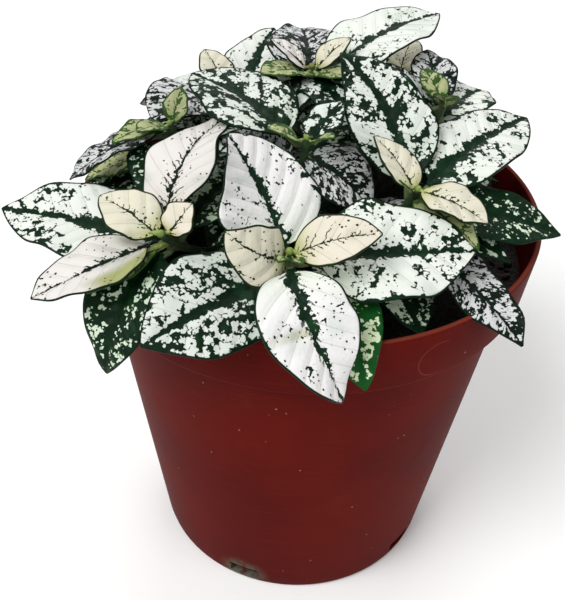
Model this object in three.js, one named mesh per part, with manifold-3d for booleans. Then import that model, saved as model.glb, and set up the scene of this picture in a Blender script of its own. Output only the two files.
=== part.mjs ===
// Potted polka dot plant: a round plastic nursery pot, the soil in it, and the
// branching shoots of the plant, each with its own leaves. Millimetres, +Z up.
// The origin is the centre of the pot's flat underside, and -Y is the front.

import * as THREE from "three";
import { mergeVertices } from "three/addons/utils/BufferGeometryUtils.js";
import Module from "manifold-3d";

const wasm = await Module();
wasm.setup();

// ---- Pot ----
const potHeight = 112;
const rimRadius = 60;
const rimBandHeight = 16;
const rimBandTaper = 1.6;
const bodyTopRadius = 54.5;
const baseRadius = 41.5;
const wall = 1.4;
const floorThickness = 2.4;
const edgeRounding = 1.2;
const bandFootRise = 0.4;
const potSegments = 64;

// ---- Drain notches through the foot of the wall ----
const notchCount = 5;
const notchWidth = 9;
const notchHeight = 4;
const notchDepth = 5;
const notchInset = 1.25;
const firstNotchTurn = -110;

// ---- Soil ----
const gap = 0.3;
const soilTop = 100;
const soilEdgeDrop = 1.5;
const soilEdgeWidth = 4;
const soilSegments = 48;

// ---- Stems ----
const stemRadius = 1.3;
const stemSides = 8;
const stemSteps = 8;
const stemRootDepth = 4;
const groundDepth = 20;

// ---- Leaves ----
const leafThickness = 0.8;
const youngLeafLength = 18;
const midribSteps = 60;
const stalkShare = 0.1;
const stalkHalfWidth = 0.8;
const tipHalfWidth = 0.25;
const shoulder = 0.6;
const taper = 0.85;
const fold = 12;
const cupping = 0.12;
const leafStations = [0, stalkShare, 0.25, 0.42, 0.6, 0.8, 1];
const leafStrips = 4;
const leafGap = 0.9;

// Each shoot rises from its place in the soil, through a bend, to its growing tip.
const shoots = {
  front: { root: [-3, -16], bend: [-4, -38, 110], tip: [-5, -48, 128] },
  left: { root: [-13, -9], bend: [-28, -30, 112], tip: [-33, -42, 127] },
  right: { root: [10, -8], bend: [20, -17, 114], tip: [24, -24, 130] },
  centre: { root: [-3, -3], bend: [-3, -12, 120], tip: [-2, -15, 137] },
  back: { root: [1, 8], bend: [0, 14, 120], tip: [-1, 16, 141] },
  right_back: { root: [12, 6], bend: [28, 10, 116], tip: [33, 8, 137] },
  left_back: { root: [-14, 3], bend: [-31, 3, 114], tip: [-36, 1, 131] },
  rear_left: { root: [-8, 10], bend: [-20, 26, 116], tip: [-24, 28, 129] },
  rear_right: { root: [8, 16], bend: [20, 36, 116], tip: [24, 40, 129] },
};

// A leaf leaves its stem at the share `at` of the stem's length. `turn` is its compass
// direction from +X, `rise` its first slope and `droop` how far that slope falls by its
// tip, `roll` lifts its left side, `sweep` bends it sideways, all in degrees.
const leaves = {
  front: [
    { at: 0.94, turn: -130, rise: 30, droop: -15, roll: -70, sweep: -56, long: 17, wide: 13.5 },
    { at: 1, turn: 5, rise: 29, droop: 30, roll: 25, long: 18, wide: 12.5 },
    { at: 0.8, turn: 110, rise: 43, droop: -12, roll: -2, sweep: 54, long: 31, wide: 27.5 },
    { at: 0.95, turn: -88, rise: 4, droop: 72, sweep: 56, long: 35, wide: 22 },
    { at: 0.85, turn: 10, rise: 6, droop: 12, roll: 24, long: 40, wide: 27 },
    { at: 0.7, turn: -141, rise: 3, droop: 15, roll: -24, long: 37, wide: 26 },
    { at: 0.48, turn: -58, rise: 33, droop: 80, sweep: -14, long: 38, wide: 18 },
  ],
  left: [
    { at: 1, turn: 151, rise: 31, droop: 30, roll: -10, long: 15, wide: 14 },
    { at: 0.92, turn: 97, rise: 38, droop: 30, roll: -15, sweep: -60, long: 38, wide: 19 },
    { at: 0.7, turn: 164, rise: 6, droop: 12, roll: -14, long: 45, wide: 25 },
    { at: 0.9, turn: -151, rise: -6, droop: 12, roll: 5, long: 30, wide: 20 },
    { at: 0.8, turn: -122, rise: 6, droop: 95, long: 35, wide: 18 },
    { at: 0.45, turn: -75, rise: 22, droop: 42, sweep: -60, long: 30, wide: 16 },
  ],
  right: [
    { at: 1, turn: 124, rise: 40, droop: 20, roll: 10, sweep: 20, long: 15, wide: 12 },
    { at: 1, turn: -29, rise: 4, droop: 30, long: 16, wide: 14 },
    { at: 0.92, turn: 47, rise: 18, droop: 25, roll: 12, long: 45, wide: 21 },
    { at: 0.85, turn: 95, rise: 45, droop: 20, roll: -10, sweep: 50, long: 41, wide: 22 },
    { at: 0.38, turn: -50, rise: 24, droop: 57, long: 48, wide: 18 },
    { at: 0.75, turn: -2, rise: 8, droop: 30, roll: 12, long: 37, wide: 19 },
    { at: 0.69, turn: -22, rise: 5, droop: 34, roll: 4, long: 27, wide: 11 },
    { at: 0.2, turn: -73, rise: 22, droop: 38, long: 38, wide: 19 },
    { at: 0.6, turn: 98, rise: 0, droop: 30, long: 14, wide: 13 },
  ],
  centre: [
    { at: 0.95, turn: 145, rise: 28, droop: 30, long: 34, wide: 26 },
    { at: 0.8, turn: 67, rise: 21, droop: 25, long: 35, wide: 17 },
    { at: 0.85, turn: -24, rise: -12, droop: 40, long: 19, wide: 24 },
    { at: 0.7, turn: -142, rise: -4, droop: 40, long: 28, wide: 25 },
    { at: 0.8, turn: 148, rise: 12, droop: 30, long: 22, wide: 18 },
  ],
  back: [
    { at: 0.92, turn: 39, rise: 26, droop: 30, long: 44, wide: 24 },
    { at: 0.8, turn: 96, rise: 45, droop: 70, long: 34, wide: 22 },
    { at: 0.5, turn: 120, rise: 12, droop: 40, long: 32, wide: 20 },
  ],
  right_back: [
    { at: 0.95, turn: 160, rise: 25, droop: 10, long: 20, wide: 17 },
    { at: 0.9, turn: 93, rise: 32, droop: 30, long: 24, wide: 13 },
    { at: 0.85, turn: 55, rise: 13, droop: 30, long: 25, wide: 18 },
    { at: 0.5, turn: 20, rise: 10, droop: 60, long: 30, wide: 18 },
  ],
  left_back: [
    { at: 0.95, turn: -153, rise: 2, droop: 40, roll: 15, long: 27, wide: 18 },
    { at: 0.75, turn: -178, rise: -5, droop: 30, long: 26, wide: 14 },
    { at: 0.5, turn: 172, rise: 3, droop: 50, long: 24, wide: 17 },
    { at: 0.55, turn: 118, rise: 6, droop: 45, long: 30, wide: 20 },
  ],
  rear_left: [
    { at: 0.9, turn: -133, rise: 30, droop: 50, long: 26, wide: 26 },
    { at: 0.8, turn: 56, rise: 60, droop: 30, long: 24, wide: 18 },
    { at: 0.85, turn: 150, rise: 14, droop: 66, long: 32, wide: 22 },
    { at: 0.76, turn: 90, rise: 12, droop: 68, long: 38, wide: 22 },
    { at: 0.55, turn: 126, rise: 22, droop: 72, long: 38, wide: 20 },
  ],
  rear_right: [
    { at: 0.95, turn: 118, rise: 12, droop: 60, long: 36, wide: 22 },
    { at: 0.9, turn: 25, rise: 5, droop: 50, long: 34, wide: 22 },
    { at: 0.8, turn: 72, rise: 8, droop: 75, long: 36, wide: 22 },
    { at: 0.6, turn: 160, rise: 15, droop: 50, long: 28, wide: 18 },
    { at: 0.55, turn: 45, rise: 22, droop: 80, long: 36, wide: 18 },
    { at: 1, turn: -20, rise: 10, droop: 40, long: 20, wide: 13 },
  ],
};

function dull(color, roughness) {
  return new THREE.MeshStandardMaterial({ color, roughness, metalness: 0 });
}

const potMaterial = dull("#6b231c", 0.45);
const soilMaterial = dull("#1d1712", 1);
const stemMaterial = dull("#5c7a35", 0.6);
const leafMaterial = dull("#dfe3d6", 0.6);
const youngLeafMaterial = dull("#ece3c4", 0.6);

const plant = new THREE.Group();

const radians = THREE.MathUtils.degToRad;

function addMesh(name, geometry, material) {
  const mesh = new THREE.Mesh(geometry, material);
  mesh.name = name;
  plant.add(mesh);
}

// A closed geometry with its shared corners merged.
function sealed(geometry) {
  geometry.deleteAttribute("normal");
  geometry.deleteAttribute("uv");
  return mergeVertices(geometry);
}

function solidFrom(geometry) {
  const merged = sealed(geometry);
  const vertProperties = new Float32Array(merged.attributes.position.array);
  const triVerts = new Uint32Array(merged.index.array);
  return new wasm.Manifold(new wasm.Mesh({ numProp: 3, vertProperties, triVerts }));
}

function geometryFrom(solid) {
  const mesh = solid.getMesh();
  const geometry = new THREE.BufferGeometry();
  geometry.setAttribute("position", new THREE.BufferAttribute(mesh.vertProperties, 3));
  geometry.setIndex(new THREE.BufferAttribute(mesh.triVerts, 1));
  return geometry;
}

// Turns a profile of [radius, height] points, which starts and ends on the axis,
// around +Z.
function turned(profile, segments) {
  const points = profile.map(([radius, height]) => new THREE.Vector2(radius, height));
  return new THREE.LatheGeometry(points, segments).rotateX(Math.PI / 2);
}

// ---- Pot: one moulded shell, with a wide band under its rim ----
const bandFoot = potHeight - rimBandHeight;
const bandFootRadius = rimRadius - rimBandTaper;

function innerRadiusAt(height) {
  const share = height / bandFoot;
  return THREE.MathUtils.lerp(baseRadius, bodyTopRadius, share) - wall;
}

function potShell() {
  return turned(
    [
      [0, 0],
      [baseRadius - edgeRounding, 0],
      [baseRadius, edgeRounding],
      [bodyTopRadius, bandFoot],
      [bandFootRadius, bandFoot + bandFootRise],
      [rimRadius, potHeight - edgeRounding],
      [rimRadius - edgeRounding / 2, potHeight],
      [rimRadius - wall, potHeight],
      [bandFootRadius - wall, bandFoot + wall],
      [innerRadiusAt(bandFoot - wall / 2), bandFoot - wall / 2],
      [innerRadiusAt(floorThickness), floorThickness],
      [0, floorThickness],
    ],
    potSegments,
  );
}

function drainNotch(turn) {
  const notch = new THREE.BoxGeometry(notchDepth, notchWidth, notchHeight);
  notch.translate(baseRadius - notchInset, 0, floorThickness + notchHeight / 2);
  return notch.rotateZ(radians(turn));
}

let pot = solidFrom(potShell());
for (let i = 0; i < notchCount; i += 1) {
  pot = pot.subtract(solidFrom(drainNotch(firstNotchTurn + (360 / notchCount) * i)));
}
addMesh("pot", geometryFrom(pot), potMaterial);

// ---- Soil: fills the pot to just under its rim band's middle ----
const soilEdgeTop = soilTop - soilEdgeDrop;
const soilRadius = bandFootRadius - wall - gap;
addMesh(
  "soil",
  turned(
    [
      [0, floorThickness + gap],
      [innerRadiusAt(floorThickness) - gap, floorThickness + gap],
      [innerRadiusAt(bandFoot) - gap, bandFoot - gap],
      [soilRadius, bandFoot + wall + gap],
      [soilRadius, soilEdgeTop],
      [soilRadius - soilEdgeWidth, soilTop],
      [0, soilTop],
    ],
    soilSegments,
  ),
  soilMaterial,
);

// ---- Stems: each a tube along its shoot's curve, cut off just above the soil ----
function stemCurve({ root, bend, tip }) {
  const places = [[...root, soilTop], bend, tip].map((place) => new THREE.Vector3(...place));
  return new THREE.QuadraticBezierCurve3(...places);
}

function stemSection() {
  const section = new THREE.Shape();
  for (let i = 0; i < stemSides; i += 1) {
    const angle = (2 * Math.PI * i) / stemSides;
    const corner = [stemRadius * Math.cos(angle), stemRadius * Math.sin(angle)];
    if (i === 0) section.moveTo(...corner);
    else section.lineTo(...corner);
  }
  section.closePath();
  return section;
}

function stemTube(curve) {
  const rootEnd = curve.getPoint(0).addScaledVector(curve.getTangent(0), -stemRootDepth);
  const buried = new THREE.LineCurve3(rootEnd, curve.getPoint(0));
  const whole = new THREE.CurvePath();
  whole.add(buried);
  whole.add(curve);
  const options = { extrudePath: whole, steps: stemSteps, bevelEnabled: false };
  return new THREE.ExtrudeGeometry(stemSection(), options);
}

const ground = solidFrom(
  new THREE.CylinderGeometry(rimRadius, rimRadius, groundDepth, soilSegments)
    .rotateX(Math.PI / 2)
    .translate(0, 0, soilTop + gap - groundDepth / 2),
);

// ---- Leaves: an oval blade on a short stalk, folded a little along its midrib ----
function halfWidthAt(share, wide) {
  if (share <= stalkShare) return stalkHalfWidth;
  const along = (share - stalkShare) / (1 - stalkShare);
  const widest = shoulder / (shoulder + taper);
  const blade = (wide / 2) * (along / widest) ** shoulder * ((1 - along) / (1 - widest)) ** taper;
  return Math.max(blade, THREE.MathUtils.lerp(stalkHalfWidth, tipHalfWidth, along));
}

// The leaf's own axes at a share of its length: forward along the midrib, left and up.
function leafAxes(leaf, share) {
  const heading = radians(leaf.turn + (leaf.sweep ?? 0) * share);
  const slope = radians(leaf.rise - leaf.droop * share);
  const forward = new THREE.Vector3(
    Math.cos(slope) * Math.cos(heading),
    Math.cos(slope) * Math.sin(heading),
    Math.sin(slope),
  );
  const left = new THREE.Vector3(-Math.sin(heading), Math.cos(heading), 0);
  left.applyAxisAngle(forward, radians(leaf.roll ?? 0));
  const up = new THREE.Vector3().crossVectors(forward, left);
  return { forward, left, up };
}

// Places along the midrib, found by walking it in short steps from the stem.
function midribPlaces(leaf, start) {
  const place = start.clone();
  const places = [];
  for (let i = 0; i <= midribSteps; i += 1) {
    places.push(place.clone());
    const halfway = Math.min((i + 0.5) / midribSteps, 1);
    place.addScaledVector(leafAxes(leaf, halfway).forward, leaf.long / midribSteps);
  }
  return (share) => places[Math.round(share * midribSteps)];
}

function leafBlade(leaf, curve) {
  const heading = radians(leaf.turn);
  const clear = stemRadius + leafGap;
  const start = curve.getPoint(leaf.at);
  start.add(new THREE.Vector3(clear * Math.cos(heading), clear * Math.sin(heading), 0));
  const midrib = midribPlaces(leaf, start);
  const strips = leafStations.length - 1;
  const block = sealed(new THREE.BoxGeometry(1, 2, 1, strips, leafStrips, 1));
  const position = block.attributes.position;
  for (let i = 0; i < position.count; i += 1) {
    const share = leafStations[Math.round((position.getX(i) + 0.5) * strips)];
    const across = position.getY(i);
    const halfWidth = halfWidthAt(share, leaf.wide);
    const { left, up } = leafAxes(leaf, share);
    const sideways = across * halfWidth * Math.cos(radians(fold));
    const raised = Math.abs(across) * halfWidth * Math.sin(radians(fold));
    const cupped = cupping * halfWidth * across ** 2;
    const place = midrib(share).clone();
    place.addScaledVector(left, sideways);
    place.addScaledVector(up, raised - cupped + position.getZ(i) * leafThickness);
    position.setXYZ(i, place.x, place.y, place.z);
  }
  return block;
}

for (const [shootName, shoot] of Object.entries(shoots)) {
  const curve = stemCurve(shoot);
  const stem = solidFrom(stemTube(curve)).subtract(ground);
  addMesh(`stem_${shootName}`, geometryFrom(stem), stemMaterial);
  leaves[shootName].forEach((leaf, index) => {
    const material = leaf.long <= youngLeafLength ? youngLeafMaterial : leafMaterial;
    addMesh(`leaf_${shootName}_${index + 1}`, leafBlade(leaf, curve), material);
  });
}

export default plant;
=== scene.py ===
# A potted polka dot plant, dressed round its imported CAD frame.
# Metres, +Z up, the pot stands on z = 0 and its front is -Y. Sizes are written in millimetres
# and are brought to metres as each piece is finished, except for the floor and the lights.

import math
import random
from statistics import NormalDist

import bmesh
import bpy
from mathutils import Matrix, Vector, noise


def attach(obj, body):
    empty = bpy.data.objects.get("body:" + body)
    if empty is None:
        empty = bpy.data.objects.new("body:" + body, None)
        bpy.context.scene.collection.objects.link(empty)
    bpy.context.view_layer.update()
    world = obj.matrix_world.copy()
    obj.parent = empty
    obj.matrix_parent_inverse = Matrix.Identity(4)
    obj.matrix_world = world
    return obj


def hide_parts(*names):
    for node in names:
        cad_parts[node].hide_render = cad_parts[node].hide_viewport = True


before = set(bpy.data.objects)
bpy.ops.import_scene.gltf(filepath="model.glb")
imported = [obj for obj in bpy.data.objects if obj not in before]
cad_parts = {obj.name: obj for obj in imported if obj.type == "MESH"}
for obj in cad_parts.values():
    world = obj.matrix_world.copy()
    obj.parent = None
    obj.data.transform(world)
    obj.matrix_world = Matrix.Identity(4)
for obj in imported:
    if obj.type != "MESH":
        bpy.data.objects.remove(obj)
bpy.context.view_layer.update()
MM = 0.001

# ---- Pot and soil, as in the CAD ----
POT_HEIGHT = 112
RIM_RADIUS = 60
BAND_HEIGHT = 16
BAND_TAPER = 1.6
BODY_TOP_RADIUS = 54.5
BASE_RADIUS = 41.5
WALL = 1.4
FLOOR_THICKNESS = 2.4
BAND_FOOT = POT_HEIGHT - BAND_HEIGHT
BAND_FOOT_RADIUS = RIM_RADIUS - BAND_TAPER
NOTCH_COUNT = 5
NOTCH_TOP = 6.4
FIRST_NOTCH_TURN = -110
GAP = 0.3
SOIL_TOP = 100
SOIL_RADIUS = BAND_FOOT_RADIUS - WALL - GAP

# ---- The pot's and the soil's finer form ----
# The soil's top sinks everywhere by SOIL_SINK and at the wall by WALL_SINK more, and nowhere
# goes lower than SOIL_DIP under SOIL_TOP.
FOOT_RECESS = 0.9
FOOT_RECESS_RADIUS = 34
FOOT_RING_RADIUS = 35.5
FOOT_ROUNDING = 1.2
BAND_FILLET = 1.1
BAND_ROUNDING = 0.9
SHARP_CORNER = math.radians(50)
POT_COLUMNS = 150
NOTCH_COLUMNS = 5
MARK_TURN = -60
MARK_HEIGHT = 102.5
MARK_RADIUS = 5.2
ALGAE_HEIGHT = 3
SOIL_COLUMNS = 96
SOIL_RINGS = 34
SOIL_SINK = 0.9
WALL_SINK = 1.6
SOIL_DIP = 2.1

# ---- Stems and leaves, as in the CAD ----
STEM_RADIUS = 1.3
LEAF_GAP = 0.9
STALK_SHARE = 0.1
STALK_HALF_WIDTH = 0.8
TIP_HALF_WIDTH = 0.25
SHOULDER = 0.6
TAPER = 0.85
FOLD = math.radians(12)
CUPPING = 0.12

# ---- The stems', stalks' and roots' finer form ----
# A stem swells where leaves leave it, over about NODE_SHARE of its length. The bud's rings are
# pairs of a rise over the stem's tip and a radius. A leaf as wide as FULL_WIDTH or wider has
# the full stalk, keel and midrib.
STEM_BURIED = 4
STEM_ROWS = 40
STEM_SIDES = 14
NODE_SHARE = 0.025
NODE_SWELL = 0.25
BUD_RINGS = (0.5, 0.75), (0.9, 0.5), (1.1, 0)
STALK_RADIUS = 0.85
KEEL_RADIUS = 0.8
KEEL_TAPER = 0.62
KEEL_ROWS = 18
KEEL_SIDES = 8
FULL_WIDTH = 18
ROOT_STEPS = 14
ROOT_STRIDE = 1.1
ROOT_RADIUS = 0.22
ROOT_LIFT = 0.15
ROOT_SIDES = 6
ROOT_SEED = 3

# ---- The blades' finer form ----
# A leaf shorter than YOUNG_LENGTH has no bare stalk. The bulges, waves and ripples of a blade's
# edge run through so many radians along its length. A blade's relief fades where it is less
# than SLIM_WIDTH from its midrib to its edge.
BLADE_THICKNESS = 0.32
BLADE_LEAD = 0.025
YOUNG_LENGTH = 20
YOUNG_FOOT = -0.07
ROW_SPREAD = 1.15
WAVE_LENGTH = 35
BULGE_TURNS = 13
WAVE_TURNS = 12
RIPPLE_TURNS = 27
SLIM_WIDTH = 4
VEIN_LEAN = 0.8
VEIN_COS = 1 / math.hypot(1, VEIN_LEAN)
VEIN_SIN = VEIN_LEAN * VEIN_COS
VEIN_SPACING = 4.6
PUCKER = 0.16
GROOVE = 0.25
GROOVE_WIDTH = 0.8
CREASE_DEPTH = 0.8
CREASE_SHARE = 0.02
FOOT_TINT_SHARE = 0.35
HEM_COLOUR = "#989c68"

# ---- The blades' markings ----
# A mark is where a field of dots and clumps passes the blade's limit. The field's mean and
# spread turn the share that stays pale into that limit.
FIELD_LEVEL = 1.6
FIELD_MEAN = 0.37
FIELD_SPREAD = 0.42
SIDE_SHIFT = 31
SEED_STRIDE = 1.7
WOBBLE_SIZE = 1.0
CLUMP_SIZE = 2.6
ZONE_SIZE = 8
SPOT_SHAKE = 0.8
RIB_SHAKE = 0.9
SPUR_SHAKE = 1.6
SPUR_SPACING = 1.5
SPECK_SPACING = 1.5
SPECK_SHIFT = (50, 20, 0)
SPECK_LEVEL = 1.56
RIM_WIDTH = 0.45

# ---- Camera, floor and sky ----
CAMERA_AIM = (-6.05, 0, 77.18)
CAMERA_DISTANCE = 263.7
CAMERA_DOWN = math.radians(38.16)
CAMERA_ROLL = math.radians(2.37)
CAMERA_LENS = 55.36
SENSOR_WIDTH = 36
FLOOR_HALF_SIDE = 3
SKY_STRENGTH = 0.42

# Each shoot rises from its root in the soil, through a bend, to its growing tip.
SHOOTS = {
    "front": ((-3, -16, 100), (-4, -38, 110), (-5, -48, 128)),
    "left": ((-13, -9, 100), (-28, -30, 112), (-33, -42, 127)),
    "right": ((10, -8, 100), (20, -17, 114), (24, -24, 130)),
    "centre": ((-3, -3, 100), (-3, -12, 120), (-2, -15, 137)),
    "back": ((1, 8, 100), (0, 14, 120), (-1, 16, 141)),
    "right_back": ((12, 6, 100), (28, 10, 116), (33, 8, 137)),
    "left_back": ((-14, 3, 100), (-31, 3, 114), (-36, 1, 131)),
    "rear_left": ((-8, 10, 100), (-20, 26, 116), (-24, 28, 129)),
    "rear_right": ((8, 16, 100), (20, 36, 116), (24, 40, 129)),
}

# How a blade is marked: the share that stays pale, how far the marks stretch along the side
# veins, the marks' size, the half width of the dark midrib, how far its spurs run out, and the
# colours of the pale part, of the dark part and of the blade's foot.
LOOKS = {
    "snow": (0.91, 1.0, 1.05, 1.8, 3.6, "#dcdbda", "#06200f", "#cdd5c5"),
    "blotched": (0.73, 1.0, 1.25, 1.8, 2.8, "#d6dad3", "#05200f", "#c7d2c1"),
    "speckled": (0.57, 1.15, 1.05, 1.5, 2.4, "#cbd1ca", "#051c0d", "#bac5b3"),
    "streaked": (0.55, 1.8, 0.62, 0.8, 3.0, "#c4c5c6", "#06150c", "#b2bbb1"),
    "dark": (0.34, 1.1, 0.85, 1.7, 0.6, "#c4d3bd", "#04200d", "#a3b797"),
    "green": (0.38, 1.2, 0.9, 2.0, 0.6, "#cfddb7", "#0e4a1a", "#a0c081"),
    "cream": (0.965, 1.0, 1.1, 0.6, 4.5, "#cecab7", "#18260f", "#a6a961"),
    "peach": (0.96, 1.0, 1.1, 0.6, 4.6, "#d2cbbb", "#1b2610", "#abac62"),
    "pink": (0.955, 1.1, 1.1, 0.9, 4.2, "#d3cfcb", "#08190d", "#c6c1b6"),
    "lime": (0.62, 1.9, 0.75, 0.5, 3.0, "#a3a87c", "#2f4c1e", "#5f7838"),
}

# A leaf leaves its stem at the share `at` of the stem's length. turn is its compass direction
# from +X, rise its first slope and droop how far that falls by its tip, roll lifts its left
# side and sweep bends it sideways, in degrees. pale takes the place of its look's pale share,
# crease is the share of its length where a dip crosses its right half, and hem tints the
# edge of its left half green.
LEAVES = {
    "front": [
        dict(at=0.94, turn=-130, rise=30, droop=-15, roll=-70, sweep=-56, long=17, wide=13.5, look="cream"),
        dict(at=1, turn=5, rise=29, droop=30, roll=25, long=18, wide=12.5, look="peach"),
        dict(at=0.8, turn=110, rise=43, droop=-12, roll=-2, sweep=54, long=31, wide=27.5, look="snow"),
        dict(at=0.95, turn=-88, rise=4, droop=72, sweep=56, long=35, wide=22, crease=0.53, look="snow"),
        dict(at=0.85, turn=10, rise=6, droop=12, roll=24, long=40, wide=27, look="blotched"),
        dict(at=0.7, turn=-141, rise=3, droop=15, roll=-24, long=37, wide=26, look="speckled"),
        dict(at=0.48, turn=-58, rise=33, droop=80, sweep=-14, long=38, wide=18, look="green"),
    ],
    "left": [
        dict(at=1, turn=151, rise=31, droop=30, roll=-10, long=15, wide=14, look="cream"),
        dict(at=0.92, turn=97, rise=38, droop=30, roll=-15, sweep=-60, long=38, wide=19, look="pink"),
        dict(at=0.7, turn=164, rise=6, droop=12, roll=-14, long=45, wide=25, look="blotched"),
        dict(at=0.9, turn=-151, rise=-6, droop=12, roll=5, long=30, wide=20, hem=1, look="pink"),
        dict(at=0.8, turn=-122, rise=6, droop=95, long=35, wide=18, look="dark"),
        dict(at=0.45, turn=-75, rise=22, droop=42, sweep=-60, long=30, wide=16, look="speckled"),
    ],
    "right": [
        dict(at=1, turn=124, rise=40, droop=20, roll=10, sweep=20, long=15, wide=12, look="cream"),
        dict(at=1, turn=-29, rise=4, droop=30, long=16, wide=14, look="cream"),
        dict(at=0.92, turn=47, rise=18, droop=25, roll=12, long=45, wide=21, look="blotched"),
        dict(at=0.85, turn=95, rise=45, droop=20, roll=-10, sweep=50, long=41, wide=22, look="speckled"),
        dict(at=0.38, turn=-50, rise=24, droop=57, long=48, wide=18, look="streaked"),
        dict(at=0.75, turn=-2, rise=8, droop=30, roll=12, long=37, wide=19, pale=0.24, look="dark"),
        dict(at=0.69, turn=-22, rise=5, droop=34, roll=4, long=27, wide=11, look="dark"),
        dict(at=0.2, turn=-73, rise=22, droop=38, long=38, wide=19, look="dark"),
        dict(at=0.6, turn=98, rise=0, droop=30, long=14, wide=13, look="streaked"),
    ],
    "centre": [
        dict(at=0.95, turn=145, rise=28, droop=30, long=34, wide=26, look="speckled"),
        dict(at=0.8, turn=67, rise=21, droop=25, long=35, wide=17, look="dark"),
        dict(at=0.85, turn=-24, rise=-12, droop=40, long=19, wide=24, look="streaked"),
        dict(at=0.7, turn=-142, rise=-4, droop=40, long=28, wide=25, look="dark"),
        dict(at=0.8, turn=148, rise=12, droop=30, long=22, wide=18, look="streaked"),
    ],
    "back": [
        dict(at=0.92, turn=39, rise=26, droop=30, long=44, wide=24, pale=0.85, look="blotched"),
        dict(at=0.8, turn=96, rise=45, droop=70, long=34, wide=22, look="streaked"),
        dict(at=0.5, turn=120, rise=12, droop=40, long=32, wide=20, look="speckled"),
    ],
    "right_back": [
        dict(at=0.95, turn=160, rise=25, droop=10, long=20, wide=17, look="streaked"),
        dict(at=0.9, turn=93, rise=32, droop=30, long=24, wide=13, look="streaked"),
        dict(at=0.85, turn=55, rise=13, droop=30, long=25, wide=18, look="blotched"),
        dict(at=0.5, turn=20, rise=10, droop=60, long=30, wide=18, look="dark"),
    ],
    "left_back": [
        dict(at=0.95, turn=-153, rise=2, droop=40, roll=15, long=27, wide=18, look="streaked"),
        dict(at=0.75, turn=-178, rise=-5, droop=30, long=26, wide=14, look="lime"),
        dict(at=0.5, turn=172, rise=3, droop=50, long=24, wide=17, look="dark"),
        dict(at=0.55, turn=118, rise=6, droop=45, long=30, wide=20, look="speckled"),
    ],
    "rear_left": [
        dict(at=0.9, turn=-133, rise=30, droop=50, long=26, wide=26, look="streaked"),
        dict(at=0.8, turn=56, rise=60, droop=30, long=24, wide=18, look="blotched"),
        dict(at=0.85, turn=150, rise=14, droop=66, long=32, wide=22, look="blotched"),
        dict(at=0.76, turn=90, rise=12, droop=68, long=38, wide=22, look="snow"),
        dict(at=0.55, turn=126, rise=22, droop=72, long=38, wide=20, look="dark"),
    ],
    "rear_right": [
        dict(at=0.95, turn=118, rise=12, droop=60, long=36, wide=22, look="blotched"),
        dict(at=0.9, turn=25, rise=5, droop=50, long=34, wide=22, look="speckled"),
        dict(at=0.8, turn=72, rise=8, droop=75, long=36, wide=22, look="snow"),
        dict(at=0.6, turn=160, rise=15, droop=50, long=28, wide=18, look="dark"),
        dict(at=0.55, turn=45, rise=22, droop=80, long=36, wide=18, look="speckled"),
        dict(at=1, turn=-20, rise=10, droop=40, long=20, wide=13, look="pink"),
    ],
}

# The stalk's colour on most leaves, and on those whose look is in PALE_STALKED.
STALK_COLOURS = "#173019", "#8f9c4c"
PALE_STALKED = {"cream", "peach", "lime", "pink"}

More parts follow.
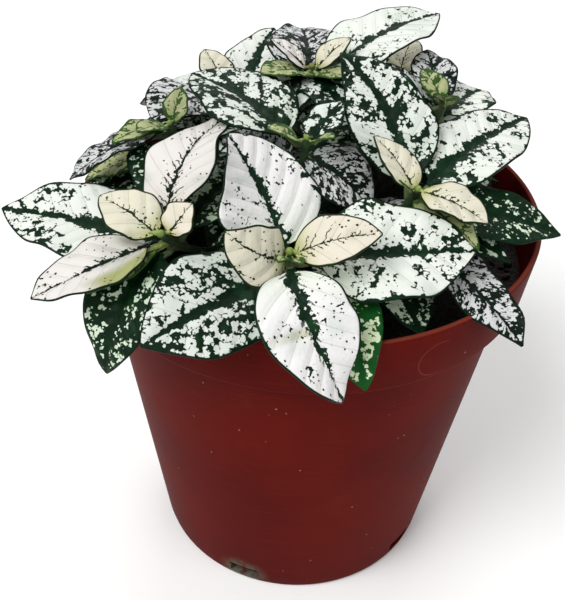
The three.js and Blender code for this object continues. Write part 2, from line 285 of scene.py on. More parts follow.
# Small leaves at the growing tips, and leaves that close the gaps between the larger ones.
# They have no CAD node.
EXTRA_LEAVES = {
    "front": [
        dict(at=0.98, turn=-62, rise=32, droop=30, long=4, wide=3, look="lime"),
        dict(at=1, turn=-115, rise=30, droop=30, long=3.5, wide=3, look="lime"),
        dict(at=0.4, turn=165, rise=18, droop=50, long=28, wide=18, look="dark"),
    ],
    "left": [
        dict(at=1, turn=31, rise=55, droop=20, roll=20, long=8, wide=9, look="peach"),
        dict(at=0.55, turn=-20, rise=5, droop=30, long=20, wide=15, look="streaked"),
        dict(at=0.45, turn=70, rise=20, droop=50, long=28, wide=18, look="dark"),
        dict(at=0.58, turn=133, rise=22, droop=60, long=27, wide=16, look="dark"),
        dict(at=0.86, turn=-140, rise=-11, droop=6, roll=12, long=20, wide=10, look="lime"),
        dict(at=0.8, turn=68, rise=20, droop=20, sweep=-20, long=36, wide=17, pale=0.5, look="dark"),
    ],
    "right": [
        dict(at=1, turn=-150, rise=60, droop=20, long=5, wide=4, look="lime"),
        dict(at=0.4, turn=150, rise=16, droop=40, long=28, wide=18, look="dark"),
        dict(at=0.35, turn=-120, rise=14, droop=40, long=26, wide=17, look="speckled"),
        dict(at=0.5, turn=25, rise=10, droop=50, long=30, wide=18, look="dark"),
        dict(at=0.9, turn=-40, rise=-3, droop=28, long=18, wide=12, look="lime"),
    ],
    "centre": [
        dict(at=1, turn=51, rise=35, droop=20, long=12, wide=10, look="speckled"),
        dict(at=1, turn=-170, rise=45, droop=40, long=8, wide=7, look="lime"),
        dict(at=1, turn=-40, rise=50, droop=40, long=7, wide=6, look="lime"),
        dict(at=0.45, turn=-165, rise=20, droop=40, long=28, wide=18, look="speckled"),
        dict(at=0.5, turn=-50, rise=12, droop=40, long=26, wide=18, look="dark"),
        dict(at=0.45, turn=100, rise=14, droop=30, long=26, wide=17, look="dark"),
    ],
    "back": [
        dict(at=1, turn=29, rise=53, droop=40, long=11, wide=9, look="cream"),
        dict(at=1, turn=169, rise=50, droop=30, long=11, wide=9, look="pink"),
        dict(at=0.98, turn=-140, rise=28, droop=30, long=15, wide=12, look="lime"),
        dict(at=0.98, turn=-35, rise=20, droop=20, long=11, wide=9, look="lime"),
        dict(at=0.75, turn=-155, rise=0, droop=40, long=26, wide=20, look="speckled"),
        dict(at=0.7, turn=-30, rise=2, droop=45, long=24, wide=18, look="dark"),
        dict(at=0.5, turn=15, rise=8, droop=40, long=26, wide=18, look="dark"),
        dict(at=0.58, turn=-90, rise=14, droop=30, long=20, wide=15, look="dark"),
        dict(at=0.97, turn=-130, rise=-4, droop=40, long=20, wide=18, look="speckled"),
        dict(at=0.96, turn=-60, rise=4, droop=40, long=19, wide=16, look="speckled"),
        dict(at=0.97, turn=-10, rise=14, droop=40, long=20, wide=17, look="dark"),
        dict(at=0.6, turn=62, rise=22, droop=40, long=30, wide=20, look="speckled"),
    ],
    "right_back": [
        dict(at=1, turn=-100, rise=60, droop=40, long=9, wide=7, look="lime"),
        dict(at=1, turn=120, rise=45, droop=40, long=10, wide=8, look="lime"),
        dict(at=0.7, turn=-60, rise=5, droop=50, long=26, wide=17, look="speckled"),
        dict(at=0.66, turn=133, rise=20, droop=40, long=23, wide=16, look="dark"),
        dict(at=0.4, turn=-20, rise=14, droop=50, long=26, wide=17, look="dark"),
    ],
    "left_back": [
        dict(at=1, turn=75, rise=66, droop=40, long=9, wide=7, look="lime"),
        dict(at=1, turn=-125, rise=35, droop=40, long=10, wide=8, look="lime"),
        dict(at=0.8, turn=55, rise=15, droop=40, long=28, wide=19, look="speckled"),
        dict(at=0.6, turn=-115, rise=5, droop=50, long=26, wide=18, look="dark"),
        dict(at=0.3, turn=-70, rise=4, droop=20, long=16, wide=12, look="dark"),
        dict(at=0.9, turn=-100, rise=10, droop=50, long=22, wide=16, look="dark"),
        dict(at=0.6, turn=-166, rise=2, droop=26, long=30, wide=19, look="dark"),
        dict(at=1, turn=-148, rise=16, droop=45, long=14, wide=9, look="lime"),
    ],
    "rear_left": [
        dict(at=1, turn=-60, rise=45, droop=40, long=12, wide=9, look="pink"),
        dict(at=1, turn=120, rise=45, droop=40, long=13, wide=10, look="cream"),
        dict(at=0.66, turn=-168, rise=26, droop=60, long=28, wide=17, look="speckled"),
        dict(at=0.5, turn=75, rise=15, droop=55, long=30, wide=19, look="dark"),
        dict(at=0.55, turn=-80, rise=10, droop=40, long=24, wide=17, look="dark"),
    ],
    "rear_right": [
        dict(at=1, turn=70, rise=45, droop=40, long=14, wide=11, look="cream"),
        dict(at=1, turn=-120, rise=50, droop=40, long=11, wide=9, look="peach"),
        dict(at=0.5, turn=98, rise=30, droop=72, long=34, wide=19, look="dark"),
        dict(at=0.65, turn=5, rise=17, droop=60, long=30, wide=18, look="speckled"),
        dict(at=0.42, turn=-48, rise=6, droop=26, long=22, wide=15, look="dark"),
    ],
}


# ---- Shader expressions ----
def colour(code):
    """A linear colour with alpha, from a hex code as seen on screen."""
    seen = [int(code[i : i + 2], 16) / 255 for i in (1, 3, 5)]
    return [c / 12.92 if c <= 0.04045 else ((c + 0.055) / 1.055) ** 2.4 for c in seen] + [1]


class Value:
    """A shader socket that stands in Python expressions."""

    def __init__(self, finish, socket):
        self.finish, self.socket = finish, socket

    def math(self, operation, *others):
        sockets = dict(enumerate([self, *others]))
        return self.finish.node("ShaderNodeMath", {"operation": operation}, sockets)

    def flipped(self, operation, other):
        return self.finish.node("ShaderNodeMath", {"operation": operation}, {0: other, 1: self})

    def __add__(self, other):
        return self.math("ADD", other)

    def __sub__(self, other):
        return self.math("SUBTRACT", other)

    def __mul__(self, other):
        return self.math("MULTIPLY", other)

    def __truediv__(self, other):
        return self.math("DIVIDE", other)

    def __gt__(self, other):
        return self.math("GREATER_THAN", other)

    def __rsub__(self, other):
        return self.flipped("SUBTRACT", other)

    def __abs__(self):
        return self.math("ABSOLUTE")

    __radd__ = __add__
    __rmul__ = __mul__

    def most(self, other):
        return self.math("MAXIMUM", other)

    def fade(self, low, high):
        """0 below low, 1 above high, and a smooth step between them."""
        return self.finish.node(
            "ShaderNodeMapRange", {"interpolation_type": "SMOOTHSTEP"}, {0: self, 1: low, 2: high}
        )


class Finish:
    """A material whose nodes are made from expressions."""

    def __init__(self, name):
        self.material = bpy.data.materials.new(name)
        self.material.use_nodes = True
        self.tree = self.material.node_tree
        self.tree.nodes.clear()

    def node(self, kind, settings, sockets, output=0):
        made = self.tree.nodes.new(kind)
        for name, value in settings.items():
            setattr(made, name, value)
        for name, value in sockets.items():
            if isinstance(value, Value):
                self.tree.links.new(value.socket, made.inputs[name])
            else:
                made.inputs[name].default_value = value
        return Value(self, made.outputs[output])

    def also(self, value, output):
        """Another output of the node that a value came from."""
        return Value(self, value.socket.node.outputs[output])

    def parts(self, vector):
        first = self.node("ShaderNodeSeparateXYZ", {}, {0: vector})
        return first, self.also(first, 1), self.also(first, 2)

    def vector(self, x, y, z=0.0):
        return self.node("ShaderNodeCombineXYZ", {}, {0: x, 1: y, 2: z})

    def uv(self, name):
        return self.node("ShaderNodeUVMap", {"uv_map": name}, {})

    def attribute(self, name, output="Color"):
        return self.node("ShaderNodeAttribute", {"attribute_name": name}, {}, output)

    def place(self):
        """The place on the piece in millimetres."""
        at = self.node("ShaderNodeTexCoord", {}, {}, "Object")
        return self.scaled(at, 1 / MM)

    def scaled(self, vector, size):
        return self.node("ShaderNodeVectorMath", {"operation": "SCALE"}, {0: vector, "Scale": size})

    def stretched(self, vector, sizes):
        return self.node("ShaderNodeVectorMath", {"operation": "MULTIPLY"}, {0: vector, 1: sizes})

    def shifted(self, vector, by):
        return self.node("ShaderNodeVectorMath", {"operation": "ADD"}, {0: vector, 1: by})

    def cloud(self, vector, size, detail, dimensions="3D", output=0):
        """Soft noise whose lumps are about size millimetres across."""
        return self.node(
            "ShaderNodeTexNoise",
            {"noise_dimensions": dimensions},
            {"Vector": vector, "Scale": 1 / size, "Detail": detail},
            output,
        )

    def cells(self, vector, size, dimensions="3D"):
        """The distance to the nearest of scattered points, about size millimetres apart."""
        return self.node(
            "ShaderNodeTexVoronoi",
            {"voronoi_dimensions": dimensions},
            {"Vector": vector, "Scale": 1 / size},
        )

    def mix(self, share, first, second, how="MIX"):
        return self.node(
            "ShaderNodeMix", {"data_type": "RGBA", "blend_type": how}, {0: share, 6: first, 7: second}, 2
        )

    def done(self, base, roughness, height=None, depth=0.1, **constants):
        """Ends the material: height in millimetres times depth is its bump."""
        sockets = {"Base Color": base, "Roughness": roughness, **constants}
        if height is not None:
            sockets["Normal"] = self.node(
                "ShaderNodeBump", {}, {"Height": height, "Distance": depth * MM, "Strength": 1.0}
            )
        shader = self.node("ShaderNodeBsdfPrincipled", {}, sockets)
        last = self.tree.nodes.new("ShaderNodeOutputMaterial")
        self.tree.links.new(shader.socket, last.inputs["Surface"])
        return self.material


# ---- Finishes ----
def blade_markings(f):
    """What both faces of a blade share: places on it, its veins and its dark markings."""
    across, along, _ = f.parts(f.uv("blade"))
    edge, share, _ = f.parts(f.uv("reach"))
    limit, stretch, rib = f.parts(f.attribute("marks", "Vector"))
    seed, reach = f.attribute("seed", "Fac"), f.attribute("spurs", "Fac")
    away = abs(across)
    side = (across > 0) * SIDE_SHIFT + seed
    flat = f.vector(away + side, along + seed * SEED_STRIDE)
    wobble = f.cloud(flat, WOBBLE_SIZE, 3, "2D", "Color")
    shake_x, shake_y, _ = f.parts(wobble)
    vein = along - away * VEIN_LEAN
    # Marks lie in a frame that is turned, not sheared, to run along the side veins.
    along_vein = (away * VEIN_COS + along * VEIN_SIN) / stretch + side
    across_vein = vein * VEIN_COS + seed * SEED_STRIDE
    spot = f.scaled(f.vector(along_vein, across_vein), f.attribute("grain", "Fac"))
    spot = f.shifted(spot, f.scaled(wobble, SPOT_SHAKE))
    dots = f.cells(spot, 1.0, "2D")
    size_of_dot, _, _ = f.parts(f.also(dots, "Color"))
    clumps = f.cloud(spot, CLUMP_SIZE, 3, "2D")
    zones = f.cloud(spot, ZONE_SIZE, 1, "2D")
    field = dots * 0.6 + size_of_dot * 0.5 + clumps * 2.0 + zones * 0.9 - FIELD_LEVEL
    # The midrib narrows towards the tip. Spurs leave it along the side veins, at random lengths.
    vein_off = abs((vein / VEIN_SPACING).math("FRACT") - 0.5) * VEIN_SPACING
    rib_width = rib * ((1 - share).math("POWER", 1.5) * 0.8 + 0.2)
    shaken = away + (shake_x - 0.5) * RIB_SHAKE
    near_rib = 1 - (shaken / rib_width).fade(0.5, 2.6)
    spur_place = (vein + (shake_y - 0.5) * SPUR_SHAKE) / SPUR_SPACING
    spur_seed = spur_place.math("FLOOR") * 1.37 + side
    spur_luck = f.node("ShaderNodeTexWhiteNoise", {"noise_dimensions": "1D"}, {"W": spur_seed})
    spur_off = abs(spur_place.math("FRACT") - 0.5) * SPUR_SPACING
    spur_end = rib_width * 0.4 + spur_luck * spur_luck * reach * (1.1 - share)
    spur_width = rib * 0.12 + 0.1
    spur = (1 - (spur_off / spur_width).fade(0.7, 1.3)) * (spur_end > shaken)
    # Marks crowd near the midrib and the edge, and fine specks lie between them.
    near_edge = 1 - edge.fade(0.1, 1.3)
    dark = (field + near_rib * 0.75 + near_edge * 0.3 - limit).fade(-0.04, 0.04).most(spur)
    specks = f.cells(f.shifted(flat, SPECK_SHIFT), SPECK_SPACING, "2D")
    speck_kind, speck_size, _ = f.parts(f.also(specks, "Color"))
    speck = 1 - (specks * (1.7 - speck_size)).fade(0.11, 0.19)
    dark = dark.most((speck_kind + zones * 2.2 > limit * 0.3 + SPECK_LEVEL) * speck)
    rim = 1 - edge.fade(RIM_WIDTH * 0.8, RIM_WIDTH * 1.2)
    core = 1 - (shaken / rib_width).fade(0.4, 0.52)
    return dict(
        away=away, along=along, dots=dots, clumps=clumps, vein_off=vein_off,
        dark=dark.most(rim).most(core * (1 - share.fade(0.75, 0.95))),
    )


def blade_top():
    f = Finish("blade_top")
    m = blade_markings(f)
    pale, deep = f.attribute("pale"), f.attribute("deep")
    where = f.vector(m["away"], m["along"], f.attribute("seed", "Fac"))
    washed = f.cloud(where, 9, 2).fade(0.52, 0.72)
    pale = f.mix(washed * 0.3, pale, f.mix(1.0, pale, colour("#c3d2c8"), "MULTIPLY"))
    vein_line = (1 - m["vein_off"].fade(0.06, 0.3)) * (1 - m["away"].fade(7, 12))
    pale = f.mix(vein_line * 0.35, pale, f.mix(1.0, pale, colour("#b7bda4"), "MULTIPLY"))
    lighter = f.mix(1.0, deep, colour("#3f8a4c"), "ADD")
    deep = f.mix(f.cloud(where, 3.2, 2).fade(0.5, 0.85) * 0.09, deep, lighter)
    base = f.mix(m["dark"], pale, deep)
    quilt = m["vein_off"].fade(0.0, 1.6) * 0.6 + m["dots"] * 0.25 + m["dark"] * -0.12
    rough = 0.42 + m["clumps"] * 0.22 + m["dark"] * -0.06
    return f.done(base, rough, quilt, 0.28, **{"Specular IOR Level": 0.1})


def blade_under():
    f = Finish("blade_under")
    m = blade_markings(f)
    pale, deep = f.attribute("pale"), f.attribute("deep")
    pale = f.mix(0.45, pale, colour("#a9b483"))
    deep = f.mix(0.35, deep, colour("#5c7848"))
    base = f.mix(m["dark"] * 0.9, pale, deep)
    rib = 1 - m["vein_off"].fade(0.1, 0.7)
    rough = 0.55 + m["clumps"] * 0.2
    raised = rib * 0.8 + m["dots"] * 0.3
    return f.done(base, rough, raised, 0.3, **{"Specular IOR Level": 0.2})


def stalk_skin():
    f = Finish("stalk_skin")
    at = f.place()
    streaks = f.cloud(f.stretched(at, (1, 1, 0.25)), 0.7, 3)
    skin = f.attribute("skin")
    base = f.mix(streaks.fade(0.35, 0.7), skin, f.mix(0.45, skin, colour("#1c3a1a")))
    blush = f.cloud(at, 5, 2).fade(0.55, 0.7)
    base = f.mix(blush * 0.35, base, colour("#6a4030"))
    return f.done(base, 0.45 + streaks * 0.3, streaks, 0.15)


def pot_plastic():
    f = Finish("pot_plastic")
    at = f.place()
    turn = math.radians(FIRST_NOTCH_TURN)
    algae_place = (BASE_RADIUS * math.cos(turn), BASE_RADIUS * math.sin(turn), ALGAE_HEIGHT)
    lines = f.cloud(f.stretched(at, (0.03, 0.03, 1)), 0.55, 3)
    broad = f.cloud(at, 38, 2)
    base = f.mix(broad.fade(0.35, 0.7), colour("#4e0b07"), colour("#5a1109"))
    base = f.mix(lines.fade(0.55, 0.75) * 0.3, base, colour("#701f14"))
    dust = f.cloud(at, 14, 4).fade(0.6, 0.8)
    base = f.mix(dust * 0.1, base, colour("#8a5a4c"))
    specks = (1 - f.cells(at, 3.4).fade(0.06, 0.1)) * f.cloud(at, 6, 1).fade(0.55, 0.6)
    base = f.mix(specks * 0.4, base, colour("#b79c8e"))
    east, north, height = f.parts(at)
    round_band = (north.math("ARCTAN2", east) - math.radians(MARK_TURN)) * RIM_RADIUS
    up_band = height - MARK_HEIGHT
    from_mark = (round_band * round_band + up_band * up_band).math("SQRT")
    mark = (1 - abs(from_mark - MARK_RADIUS).fade(0.05, 0.25)) * (1 - round_band.fade(0, 3))
    base = f.mix(mark * 0.35, base, colour("#8f4034"))
    from_notch = f.node("ShaderNodeVectorMath", {"operation": "DISTANCE"}, {0: at, 1: algae_place}, 1)
    algae = (1 - from_notch.fade(2, 9)) * f.cloud(at, 2.2, 4).fade(0.2, 0.6)
    base = f.mix(algae * 0.85, base, f.mix(f.cloud(at, 0.7, 2), colour("#7b8272"), colour("#2f3b2c")))
    # A thin painted highlight along the rim's lip: the top edge is mixed towards a lighter red-brown.
    lip = height.fade(POT_HEIGHT - 0.5, POT_HEIGHT - 0.1)
    base = f.mix(lip * 0.2, base, colour("#a5604c"))
    rough = 0.42 + broad * 0.16 + dust * 0.25 + lines * 0.1
    grain = f.cloud(at, 0.5, 2) * 0.4 + lines * 0.6
    return f.done(base, rough, grain, 0.05, **{"Specular IOR Level": 0.03})


def potting_soil():
    f = Finish("potting_soil")
    at = f.place()
    lumps = f.cloud(at, 2.4, 5)
    grains = f.cells(at, 1.3)
    base = f.mix(lumps.fade(0.4, 0.7), colour("#0c0907"), colour("#2c211a"))
    base = f.mix(f.cloud(at, 0.8, 2).fade(0.66, 0.74) * 0.6, base, colour("#6a5f52"))
    return f.done(base, 0.75 + lumps * 0.25, lumps + grains * 0.4, 1.2)


def soil_crumb():
    f = Finish("soil_crumb")
    at = f.place()
    lumps = f.cloud(at, 1.5, 3)
    base = f.mix(f.cloud(at, 5, 1).fade(0.4, 0.65), colour("#120d0a"), colour("#3a2c22"))
    base = f.mix(lumps.fade(0.55, 0.8) * 0.5, base, colour("#5d5044"))
    return f.done(base, 0.8 + lumps * 0.2, lumps, 0.6)


def perlite_grain():
    f = Finish("perlite_grain")
    at = f.place()
    pits = f.cells(at, 0.6)
    base = f.mix(pits.fade(0.1, 0.6), colour("#8f8f88"), colour("#d8d8d0"))
    return f.done(base, 0.8 + pits * 0.15, pits, 0.3)


TOP, UNDER, STALK = blade_top(), blade_under(), stalk_skin()


# ---- Making pieces ----
def finish_piece(name, bm, materials, nodes=()):
    """Turns a shape in millimetres into a piece on the plant, standing for CAD nodes."""
    bmesh.ops.scale(bm, vec=Vector((MM, MM, MM)), verts=bm.verts)
    for face in bm.faces:
        face.smooth = True
    mesh = bpy.data.meshes.new(name)
    bm.to_mesh(mesh)
    bm.free()
    for material in materials:
        mesh.materials.append(material)
    piece = bpy.data.objects.new(name, mesh)
    bpy.context.scene.collection.objects.link(piece)
    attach(piece, "root")
    if nodes:
        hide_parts(*nodes)
    return piece


def arc(middle, radius, first, last, steps):
    """Places on an arc in the pot's profile, from angle first to last in degrees."""
    turns = [math.radians(first + (last - first) * i / steps) for i in range(steps + 1)]
    return [(middle[0] + radius * math.cos(t), middle[1] + radius * math.sin(t)) for t in turns]


def spun(bm, profile, start, columns):
    """Spins a profile of (radius, height) places round +Z and closes it."""
    turn = math.radians(start)
    verts = [bm.verts.new((r * math.cos(turn), r * math.sin(turn), z)) for r, z in profile]
    edges = [bm.edges.new(pair) for pair in zip(verts, verts[1:])]
    bmesh.ops.spin(
        bm, geom=verts + edges, cent=(0, 0, 0), axis=(0, 0, 1), angle=2 * math.pi,
        steps=columns, use_merge=True, use_duplicate=False,
    )
    bmesh.ops.remove_doubles(bm, verts=bm.verts, dist=0.0005)
    bmesh.ops.recalc_face_normals(bm, faces=bm.faces)


def inner_radius(height):
    share = height / BAND_FOOT
    return BASE_RADIUS + (BODY_TOP_RADIUS - BASE_RADIUS) * share - WALL


def make_pot():
    bm = bmesh.new()
    lip = WALL / 2
    foot, fillet, corner = FOOT_ROUNDING, BAND_FILLET, BAND_ROUNDING
    profile = [(0, FOOT_RECESS), (FOOT_RECESS_RADIUS, FOOT_RECESS), (FOOT_RING_RADIUS, 0)]
    profile += arc((BASE_RADIUS - foot, foot), foot, -90, 0, 4)
    slope = (BODY_TOP_RADIUS - BASE_RADIUS) / BAND_FOOT
    profile += [(BASE_RADIUS + slope * z, z) for z in (FLOOR_THICKNESS, NOTCH_TOP)]
    profile += [(BASE_RADIUS + slope * z, z) for z in (30, 60, BAND_FOOT - 1.2)]
    profile += arc((BODY_TOP_RADIUS + fillet, BAND_FOOT - fillet), fillet, 180, 100, 3)
    profile += arc((BAND_FOOT_RADIUS - corner, BAND_FOOT + corner), corner, -90, 0, 4)
    profile += arc((RIM_RADIUS - lip, POT_HEIGHT - lip), lip, 0, 180, 8)
    profile += [(BAND_FOOT_RADIUS - WALL, BAND_FOOT + WALL)]
    profile += [(inner_radius(z), z) for z in (BAND_FOOT - lip, NOTCH_TOP, FLOOR_THICKNESS)]
    profile += [(0, FLOOR_THICKNESS)]
    column = 360 / POT_COLUMNS
    first = FIRST_NOTCH_TURN - column * NOTCH_COLUMNS / 2
    spun(bm, profile, first, POT_COLUMNS)

    def in_notch(face):
        middle = face.calc_center_median()
        if not FLOOR_THICKNESS < middle.z < NOTCH_TOP or middle.xy.length < BASE_RADIUS - 2:
            return None
        turn = (math.degrees(math.atan2(middle.y, middle.x)) - first) % 360
        place, inside = divmod(turn, 360 / NOTCH_COUNT)
        return int(place) if inside < column * NOTCH_COLUMNS else None

    cut = {}
    for face in bm.faces:
        notch = in_notch(face)
        if notch is not None:
            cut.setdefault(notch, []).append(face)
    borders = []
    for faces in cut.values():
        edges = {e for f in faces for e in f.edges}
        borders.append([e for e in edges if sum(x in faces for x in e.link_faces) == 1])
    bmesh.ops.delete(bm, geom=[f for faces in cut.values() for f in faces], context="FACES_ONLY")
    for border in borders:
        bmesh.ops.bridge_loops(bm, edges=border)
    bmesh.ops.delete(bm, geom=[e for e in bm.edges if not e.link_faces], context="EDGES")
    piece = finish_piece("nursery_pot", bm, [pot_plastic()], ["pot"])
    piece.data.set_sharp_from_angle(angle=SHARP_CORNER)


def soil_height(x, y):
    """The soil's lumpy top, a little lower by the wall."""
    out = math.hypot(x, y) / SOIL_RADIUS
    lumps = noise.noise(Vector((x, y, 3)) / 9) * 1.3 + noise.noise(Vector((x, y, 9)) / 3.2) * 0.7
    return max(SOIL_TOP - SOIL_SINK - WALL_SINK * out**6 + lumps, SOIL_TOP - SOIL_DIP)


def make_soil():
    bm = bmesh.new()
    low = FLOOR_THICKNESS + GAP
    profile = [(0, low), (inner_radius(low) - GAP, low), (inner_radius(BAND_FOOT) - GAP, BAND_FOOT - GAP)]
    profile += [(SOIL_RADIUS, BAND_FOOT + WALL + GAP)]
    profile += [(SOIL_RADIUS * (SOIL_RINGS - i) / SOIL_RINGS, SOIL_TOP) for i in range(SOIL_RINGS + 1)]
    spun(bm, profile, 0, SOIL_COLUMNS)
    for vert in bm.verts:
        if vert.co.z > SOIL_TOP - 0.01:
            vert.co.z = soil_height(vert.co.x, vert.co.y)
    finish_piece("soil_body", bm, [potting_soil()], ["soil"])


def scatter(name, material, count, small, large, seed):
    """Small angular grains, partly sunk in the soil's top."""
    chance = random.Random(seed)
    bm = bmesh.new()
    for _ in range(count):
        out = math.sqrt(chance.random()) * (SOIL_RADIUS - large)
        turn = chance.uniform(0, 2 * math.pi)
        x, y = out * math.cos(turn), out * math.sin(turn)
        radius = small + (large - small) * chance.random() ** 3
        place = Matrix.Translation((x, y, soil_height(x, y) + radius * 0.25))
        spin = Matrix.Rotation(chance.uniform(0, math.pi), 4, Vector((chance.random(), chance.random(), 1)))
        long, flat = chance.uniform(0.8, 1.6), chance.uniform(0.5, 0.9)
        shape = Matrix.Diagonal((radius * long, radius, radius * flat, 1))
        grain = bmesh.ops.create_icosphere(bm, subdivisions=1, radius=1, matrix=place @ spin @ shape)
        for vert in grain["verts"]:
            vert.co += (vert.co - place.translation) * chance.uniform(-0.25, 0.2)
    finish_piece(name, bm, [material])


# ---- Stems and leaf stalks ----
def along_shoot(shoot, share):
    root, bend, tip = (Vector(p) for p in SHOOTS[shoot])
    return root * (1 - share) ** 2 + bend * 2 * share * (1 - share) + tip * share**2


def add_tube(bm, places, radii, sides, skins, material):
    """A closed tube along places. Its first and last rings are drawn together to a point."""
    rows = len(places) - 1
    tag = bm.verts.layers.float_color.get("skin") or bm.verts.layers.float_color.new("skin")
    grid = bmesh.ops.create_grid(bm, x_segments=sides, y_segments=rows, size=1)["verts"]
    side = None
    frames = []
    for i, place in enumerate(places):
        way = (places[min(i + 1, rows)] - places[max(i - 1, 0)]).normalized()
        if side is None:
            side = way.orthogonal()
        side = (side - way * side.dot(way)).normalized()
        frames.append((side.copy(), way.cross(side)))
    for vert in grid:
        row = round((vert.co.y + 1) / 2 * rows)
        turn = (vert.co.x + 1) * math.pi
        one, two = frames[row]
        vert.co = places[row] + (one * math.cos(turn) + two * math.sin(turn)) * radii[row]
        vert[tag] = skins[row]
    faces = list({f for v in grid for f in v.link_faces})
    for face in faces:
        face.material_index = material
    bmesh.ops.remove_doubles(bm, verts=grid, dist=0.002)
    faces = [f for f in faces if f.is_valid]
    bmesh.ops.recalc_face_normals(bm, faces=faces)


def blended(first, second, share):
    return [a + (b - a) * share for a, b in zip(first, second)]


def make_stem(shoot):
    """A stem from under the soil to its tip, thicker where leaves leave it."""
    bm = bmesh.new()
    low, high, bud = colour("#2b2c18"), colour("#27401f"), colour("#7f9440")
    places, radii, skins = [], [], []
    nodes = [leaf["at"] for leaf in LEAVES[shoot]]
    down = (along_shoot(shoot, 0) - along_shoot(shoot, 0.05)).normalized()
    for i in range(STEM_ROWS + 1):
        share = i / STEM_ROWS
        swell = sum(math.exp(-(((share - at) / NODE_SHARE) ** 2)) for at in nodes)
        places.append(along_shoot(shoot, share))
        radii.append(STEM_RADIUS * (0.85 - 0.25 * share) + NODE_SWELL * min(swell, 1))
        skins.append(blended(low, high, share))
    places = [places[0] + down * STEM_BURIED, places[0] + down * (STEM_BURIED - 0.1), *places]
    radii = [0, STEM_RADIUS, *radii]
    skins = [low, low, *skins]
    tip, up = places[-1], (places[-1] - places[-2]).normalized()
    for rise, radius in BUD_RINGS:
        places.append(tip + up * rise)
        radii.append(radius)
        skins.append(bud)
    add_tube(bm, places, radii, STEM_SIDES, skins, material=0)
    finish_piece(f"shoot_{shoot}", bm, [STALK], [f"stem_{shoot}"])


def make_roots(count):
    """Fine pale roots that show on the soil's top."""
    chance = random.Random(ROOT_SEED)
    bm = bmesh.new()
    pale, dark = colour("#8d8470"), colour("#4d4334")
    for _ in range(count):
        turn, out = chance.uniform(0, 2 * math.pi), chance.uniform(12, SOIL_RADIUS - 9)
        x, y = out * math.cos(turn), out * math.sin(turn)
        heading = chance.uniform(0, 2 * math.pi)
        places = []
        for _ in range(ROOT_STEPS):
            out = math.hypot(x, y)
            if out > SOIL_RADIUS - 2:
                break
            places.append(Vector((x, y, soil_height(x, y) + ROOT_LIFT)))
            heading += chance.uniform(-0.5, 0.5)
            x, y = x + ROOT_STRIDE * math.cos(heading), y + ROOT_STRIDE * math.sin(heading)
        if len(places) < 4:
            continue
        radii = [0, *[ROOT_RADIUS] * (len(places) - 2), 0]
        skins = [blended(dark, pale, chance.random())] * len(places)
        add_tube(bm, places, radii, ROOT_SIDES, skins, material=0)
    finish_piece("soil_roots", bm, [STALK])


# ---- Leaves ----
def half_width(share, wide, foot):
    """Half the blade's width at a share of its length. The blade widens from its foot."""
    if share <= foot:
        return STALK_HALF_WIDTH
    along = (share - foot) / (1 - foot)
    widest = SHOULDER / (SHOULDER + TAPER)
    blade = wide / 2 * (along / widest) ** SHOULDER * ((1 - along) / (1 - widest)) ** TAPER
    return max(blade, STALK_HALF_WIDTH + (TIP_HALF_WIDTH - STALK_HALF_WIDTH) * along)


def leaf_axes(leaf, share):
    heading = math.radians(leaf["turn"] + leaf.get("sweep", 0) * share)
    slope = math.radians(leaf["rise"] - leaf["droop"] * share)
    level = Vector((math.cos(heading), math.sin(heading), 0))
    forward = level * math.cos(slope) + Vector((0, 0, math.sin(slope)))
    left = Vector((-level.y, level.x, 0))
    left.rotate(Matrix.Rotation(math.radians(leaf.get("roll", 0)), 3, forward))
    return forward, left, forward.cross(left)


def midrib(leaf, start):
    """A function that gives the place on the midrib at a share of the leaf's length."""
    steps = 60
    places = [start]
    for i in range(steps):
        forward, _, _ = leaf_axes(leaf, (i + 0.5) / steps)
        places.append(places[-1] + forward * leaf["long"] / steps)

    def place(share):
        low = min(max(int(share * steps), 0), steps - 1)
        return places[low].lerp(places[low + 1], share * steps - low)

    return place


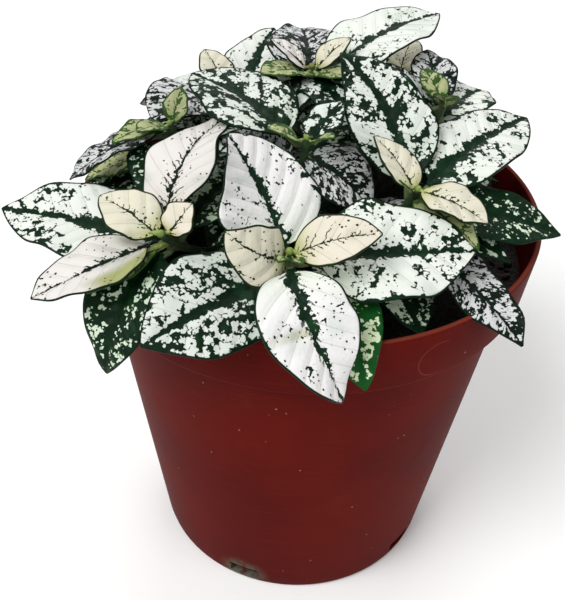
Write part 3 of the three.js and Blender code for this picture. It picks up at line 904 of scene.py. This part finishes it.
def blade_shape(leaf, spine, chance):
    """A veined blade of two faces, folded along its midrib, with a waved edge."""
    pale_share, stretch, grain, rib, reach, pale, deep, foot = LOOKS[leaf["look"]]
    pale, deep, foot = colour(pale), colour(deep), colour(foot)
    limit = FIELD_MEAN + FIELD_SPREAD * NormalDist().inv_cdf(leaf.get("pale", pale_share))
    seed, phase = chance.uniform(0, 400), chance.uniform(0, 2 * math.pi)
    wave = chance.uniform(0.4, 0.9) * leaf["long"] / WAVE_LENGTH
    bulges = chance.uniform(0.03, 0.07)
    fullness = min(leaf["wide"] / FULL_WIDTH, 1)
    young = leaf["long"] < YOUNG_LENGTH
    columns, rows = (14, 26) if young else (20, 40)
    foot_share = YOUNG_FOOT if young else STALK_SHARE
    blade_start = foot_share - BLADE_LEAD

    bm = bmesh.new()
    marks = bm.verts.layers.float_vector.new("marks")
    seeds = bm.verts.layers.float.new("seed")
    spurs = bm.verts.layers.float.new("spurs")
    grains = bm.verts.layers.float.new("grain")
    pales = bm.verts.layers.float_color.new("pale")
    deeps = bm.verts.layers.float_color.new("deep")
    flat = {}
    for vert in bmesh.ops.create_grid(bm, x_segments=columns, y_segments=rows, size=1)["verts"]:
        across, along = -vert.co.x, (vert.co.y + 1) / 2
        share = blade_start + (1 - blade_start) * along**ROW_SPREAD
        _, left, up = leaf_axes(leaf, share)
        side = phase if across > 0 else phase + 2
        width = half_width(share, leaf["wide"], foot_share)
        width *= 1 + bulges * math.sin(share * BULGE_TURNS + side)
        aside = abs(across)
        slim = min(width / SLIM_WIDTH, 1)
        vein = share * leaf["long"] - aside * width * VEIN_LEAN
        quilt = math.cos(2 * math.pi * vein / VEIN_SPACING) * math.sin(math.pi * min(aside * 1.1, 1))
        ripple = math.sin(share * WAVE_TURNS + side * 2) + 0.4 * math.sin(share * RIPPLE_TURNS + side)
        ripple = aside**2.5 * ripple
        raised = aside * width * math.sin(FOLD) - CUPPING * width * aside**2
        raised += (PUCKER * quilt + wave * ripple) * slim
        raised -= GROOVE * math.exp(-((aside * width / GROOVE_WIDTH) ** 2)) * slim
        crease = hem = 0
        if "crease" in leaf and across < 0:
            crease = math.exp(-(((share - leaf["crease"]) / CREASE_SHARE) ** 2))
        if "hem" in leaf:
            hem = min(1, max(0, across * 4 - 1.6)) * min(1, max(0, 4 - share * 6))
        raised -= CREASE_DEPTH * crease * math.sin(math.pi * aside)
        vert.co = spine(share) + left * across * width * math.cos(FOLD) + up * raised
        flat[vert] = (across * width, share * leaf["long"]), ((1 - aside) * width, share)
        near_foot = min(1, max(0, 1 - (share - foot_share) / FOOT_TINT_SHARE)) ** 1.5
        vert[marks] = (limit, stretch, rib * fullness)
        vert[seeds] = seed
        vert[spurs] = reach * fullness
        vert[grains] = 1 / grain
        tint = max(crease * (1 - aside), hem)
        vert[pales] = blended(blended(pale, foot, near_foot), colour(HEM_COLOUR), tint)
        vert[deeps] = deep
    blade_map, reach_map = bm.loops.layers.uv.new("blade"), bm.loops.layers.uv.new("reach")
    for face in bm.faces:
        for loop in face.loops:
            loop[blade_map].uv, loop[reach_map].uv = flat[loop.vert]
    bm.normal_update()
    under = bmesh.ops.duplicate(bm, geom=bm.verts[:] + bm.edges[:] + bm.faces[:])["geom"]
    under_faces = [x for x in under if isinstance(x, bmesh.types.BMFace)]
    for vert in under:
        if isinstance(vert, bmesh.types.BMVert):
            vert.co -= vert.normal * BLADE_THICKNESS
    bmesh.ops.reverse_faces(bm, faces=under_faces)
    for face in under_faces:
        face.material_index = 1
    bmesh.ops.bridge_loops(bm, edges=[e for e in bm.edges if len(e.link_faces) == 1])
    return bm


def make_leaf(name, shoot, leaf, nodes):
    """A blade on a stalk that runs on under it as the midrib's keel."""
    heading = math.radians(leaf["turn"])
    out = Vector((math.cos(heading), math.sin(heading), 0))
    root = along_shoot(shoot, leaf["at"])
    spine = midrib(leaf, root + out * (STEM_RADIUS + LEAF_GAP))
    bm = blade_shape(leaf, spine, random.Random(name))
    slim = min(leaf["wide"] / FULL_WIDTH, 1)
    places, radii = [root, root.lerp(spine(0), 0.1)], [0, STALK_RADIUS * slim]
    for i in range(KEEL_ROWS - 1):
        share = i / KEEL_ROWS
        radius = (KEEL_RADIUS - KEEL_TAPER * share**0.6) * slim
        _, _, up = leaf_axes(leaf, share)
        places.append(spine(share) - up * (BLADE_THICKNESS + GROOVE * slim + radius * 0.75))
        radii.append(radius)
    places.append(places[-1] + (places[-1] - places[-2]) * 0.2)
    radii.append(0)
    base, keel = colour(STALK_COLOURS[leaf["look"] in PALE_STALKED]), colour("#9db072")
    skins = [blended(base, keel, min(i / 8, 1)) for i in range(len(places))]
    add_tube(bm, places, radii, KEEL_SIDES, skins, material=2)
    finish_piece(name, bm, [TOP, UNDER, STALK], nodes)


# ---- Stage ----
def make_camera():
    """The camera looks along +Y and down, and is turned a little about its own axis."""
    aim = Vector(CAMERA_AIM) * MM
    back = Vector((0, -math.cos(CAMERA_DOWN), math.sin(CAMERA_DOWN)))
    up = Vector((0, math.sin(CAMERA_DOWN), math.cos(CAMERA_DOWN)))
    right = Vector((1, 0, 0))
    turned_right = right * math.cos(CAMERA_ROLL) + up * math.sin(CAMERA_ROLL)
    turned_up = up * math.cos(CAMERA_ROLL) - right * math.sin(CAMERA_ROLL)
    data = bpy.data.cameras.new("camera")
    data.lens, data.sensor_width = CAMERA_LENS, SENSOR_WIDTH
    data.clip_start, data.clip_end = 0.01, 20
    camera = bpy.data.objects.new("camera", data)
    bpy.context.scene.collection.objects.link(camera)
    place = aim + back * CAMERA_DISTANCE * MM
    turn = Matrix((turned_right, turned_up, back)).transposed().to_4x4()
    camera.matrix_world = Matrix.Translation(place) @ turn
    bpy.context.scene.camera = camera


def area_light(name, place, aim, size, watts):
    data = bpy.data.lights.new(name, "AREA")
    data.shape, data.size, data.energy = "DISK", size, watts
    light = bpy.data.objects.new(name, data)
    bpy.context.scene.collection.objects.link(light)
    light.location = place
    light.rotation_mode = "QUATERNION"
    light.rotation_quaternion = (Vector(place) - Vector(aim)).to_track_quat("Z", "Y")


def make_stage():
    bm = bmesh.new()
    bmesh.ops.create_grid(bm, x_segments=4, y_segments=4, size=FLOOR_HALF_SIDE)
    mesh = bpy.data.meshes.new("floor")
    bm.to_mesh(mesh)
    bm.free()
    f = Finish("pale_floor")
    soft = f.cloud(f.place(), 200, 2)
    mesh.materials.append(f.done(f.mix(soft, colour("#f4f4f3"), colour("#f8f8f7")), 0.7 + soft * 0.1))
    floor = bpy.data.objects.new("floor", mesh)
    bpy.context.scene.collection.objects.link(floor)
    world = bpy.data.worlds.new("studio")
    world.use_nodes = True
    sky = world.node_tree.nodes["Background"]
    sky.inputs["Color"].default_value = (1, 1, 1, 1)
    sky.inputs["Strength"].default_value = SKY_STRENGTH
    bpy.context.scene.world = world
    bpy.context.scene.view_settings.view_transform = "Standard"
    aim = (0, 0, 0.1)
    area_light("key", (-0.7, -0.65, 1.3), aim, size=0.9, watts=20)
    area_light("fill", (0.9, -0.7, 0.8), aim, size=1.0, watts=4)
    area_light("back", (0.1, 0.9, 1.1), aim, size=0.9, watts=6)


make_camera()
make_stage()
make_pot()
make_soil()
scatter("soil_crumbs", soil_crumb(), count=520, small=0.4, large=2.0, seed=5)
scatter("perlite_grains", perlite_grain(), count=26, small=0.4, large=1.1, seed=8)
make_roots(count=14)
for shoot_name in SHOOTS:
    make_stem(shoot_name)
    for number, row in enumerate(LEAVES[shoot_name], 1):
        node = f"leaf_{shoot_name}_{number}"
        make_leaf(f"blade_{shoot_name}_{number}", shoot_name, row, [node])
    for number, row in enumerate(EXTRA_LEAVES[shoot_name], 1):
        make_leaf(f"small_{shoot_name}_{number}", shoot_name, row, [])
